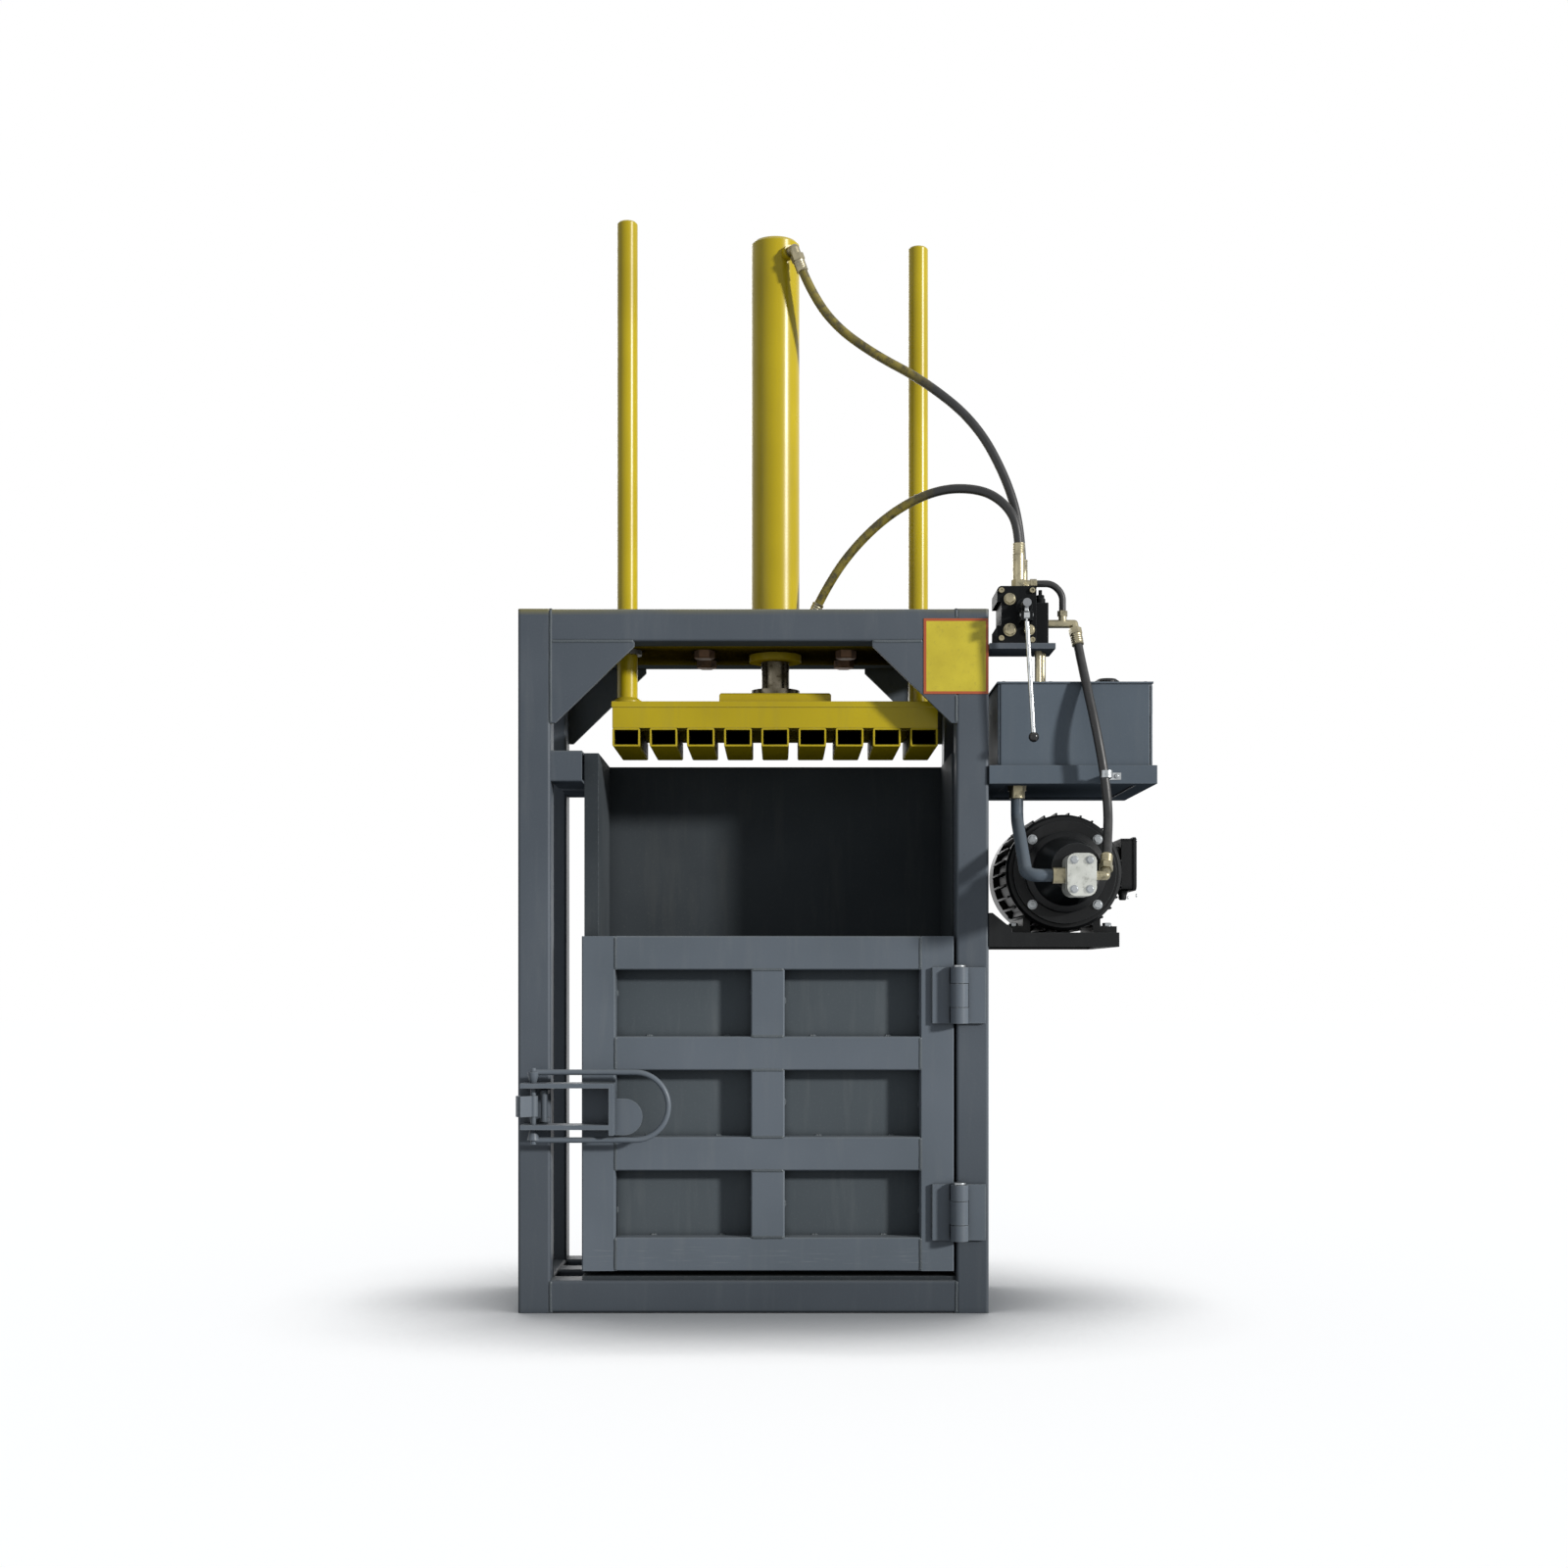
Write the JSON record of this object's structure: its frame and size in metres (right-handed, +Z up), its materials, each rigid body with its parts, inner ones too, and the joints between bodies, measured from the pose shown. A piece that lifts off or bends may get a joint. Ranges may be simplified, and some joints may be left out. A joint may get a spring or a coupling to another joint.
{
  "type": "recycling baler",
  "caption": "Vertical hydraulic recycling baler with a welded tube frame, grid door, yellow press and side power pack.",
  "frame": {"origin": "centre of the frame's footprint on the floor", "axes": "+X to the right seen from the front, +Y to the back, +Z up"},
  "size_m": [1.37, 0.612, 2.385],
  "materials": {
    "frame_paint": "satin blue-grey enamel",
    "door_paint": "satin blue-grey enamel",
    "chamber_paint": "satin blue-grey enamel, worn inside",
    "press_paint": "gloss yellow enamel",
    "tank_paint": "satin blue-grey enamel",
    "sign_plate": "bare yellow plate",
    "motor_paint": "satin black enamel",
    "fan_plastic": "moulded fan",
    "rotor_steel": "turned steel",
    "pump_alloy": "cast aluminium",
    "gear_steel": "ground steel",
    "valve_paint": "satin black enamel",
    "lever_steel": "bright steel",
    "knob_plastic": "moulded knob",
    "rod_chrome": "hard chrome",
    "bush_metal": "cast iron bush",
    "bolt_steel": "zinc plated",
    "fitting_steel": "zinc plated",
    "hose_rubber": "smooth hydraulic hose"
  },
  "bodies": {
    "frame": {"front_posts": "frame_paint", "rear_posts": "frame_paint", "top_beams": "frame_paint", "base_beams": "frame_paint", "side_rails": "frame_paint", "corner_gussets": "frame_paint", "top_deck": "press_paint", "chamber_wall_left": "chamber_paint", "chamber_wall_right": "chamber_paint", "chamber_wall_back": "chamber_paint", "chamber_floor": "chamber_paint", "chamber_ties": "frame_paint", "front_plate": "sign_plate", "frame_hinge_leaves": "door_paint", "hinge_pins": "bolt_steel", "latch_keeper": "frame_paint", "cylinder_tube": "press_paint", "cylinder_head": "press_paint", "guide_bushes": "bush_metal", "hex_bolts": "bolt_steel", "tank_shell": "tank_paint", "tank_lid": "tank_paint", "tank_tray": "tank_paint", "filler_cap": "valve_paint", "motor_shelf": "frame_paint", "motor_housing": "motor_paint", "motor_end_shields": "motor_paint", "motor_bearings": "gear_steel", "fan_cowl": "motor_paint", "terminal_box": "motor_paint", "bell_housing": "motor_paint", "pump_body": "pump_alloy", "valve_shelf": "frame_paint", "valve_body": "valve_paint", "relief_valve": "valve_paint", "return_pipes": "fitting_steel", "cap_end_hose": "hose_rubber", "rod_end_hose": "hose_rubber", "pressure_hose": "hose_rubber", "suction_pipe": "hose_rubber", "loop_pipe": "hose_rubber", "hose_fittings": "fitting_steel"},
    "platen": {"platen_beam": "press_paint", "platen_tubes": "press_paint", "platen_pad": "press_paint", "piston_rod": "rod_chrome", "piston": "gear_steel", "guide_rods": "press_paint"},
    "door": {"door_grid": "door_paint", "door_skin": "door_paint", "door_hinge_leaves": "door_paint", "latch_bracket": "door_paint"},
    "latch": {"latch_handle": "door_paint"},
    "lever": {"valve_lever": "lever_steel", "lever_knob": "knob_plastic"},
    "spool": {"valve_spool": "gear_steel"},
    "rotor": {"motor_rotor": "rotor_steel", "cooling_fan": "fan_plastic", "drive_gear": "gear_steel"},
    "idler": {"idler_gear": "gear_steel"}
  },
  "joints": [
    {"name": "platen_slide", "type": "slide", "parent": "frame", "child": "platen", "axis": [0, 0, 1], "range_m": [-0.76, 0]},
    {"name": "door_hinge", "type": "hinge", "parent": "frame", "child": "door", "pos_m": [0.44, -0.22, 0.45], "axis": [0, 0, 1], "range_deg": [0, 110]},
    {"name": "latch_swing", "type": "hinge", "parent": "door", "child": "latch", "pos_m": [-0.467, -0.24, 0.446], "axis": [0, 0, -1], "range_deg": [0, 120]},
    {"name": "lever_tilt", "type": "hinge", "parent": "frame", "child": "lever", "pos_m": [0.578, -0.262, 1.485], "axis": [1, 0, 0], "range_deg": [-9, 9], "stiffness_Nm_per_rad": 20},
    {"name": "spool_slide", "type": "slide", "parent": "frame", "child": "spool", "axis": [0, 1, 0], "range_m": [-0.0045, 0.0045]},
    {"name": "motor_spin", "type": "hinge", "parent": "frame", "child": "rotor", "pos_m": [0.675, 0, 0.948], "axis": [0, 1, 0], "continuous": true},
    {"name": "idler_spin", "type": "hinge", "parent": "frame", "child": "idler", "pos_m": [0.675, -0.36, 0.912], "axis": [0, 1, 0], "continuous": true}
  ],
  "couplings": [
    {"joint": "spool_slide", "follows": "lever_tilt", "m_per_rad": -0.025},
    {"joint": "idler_spin", "follows": "motor_spin", "ratio": -1}
  ]
}
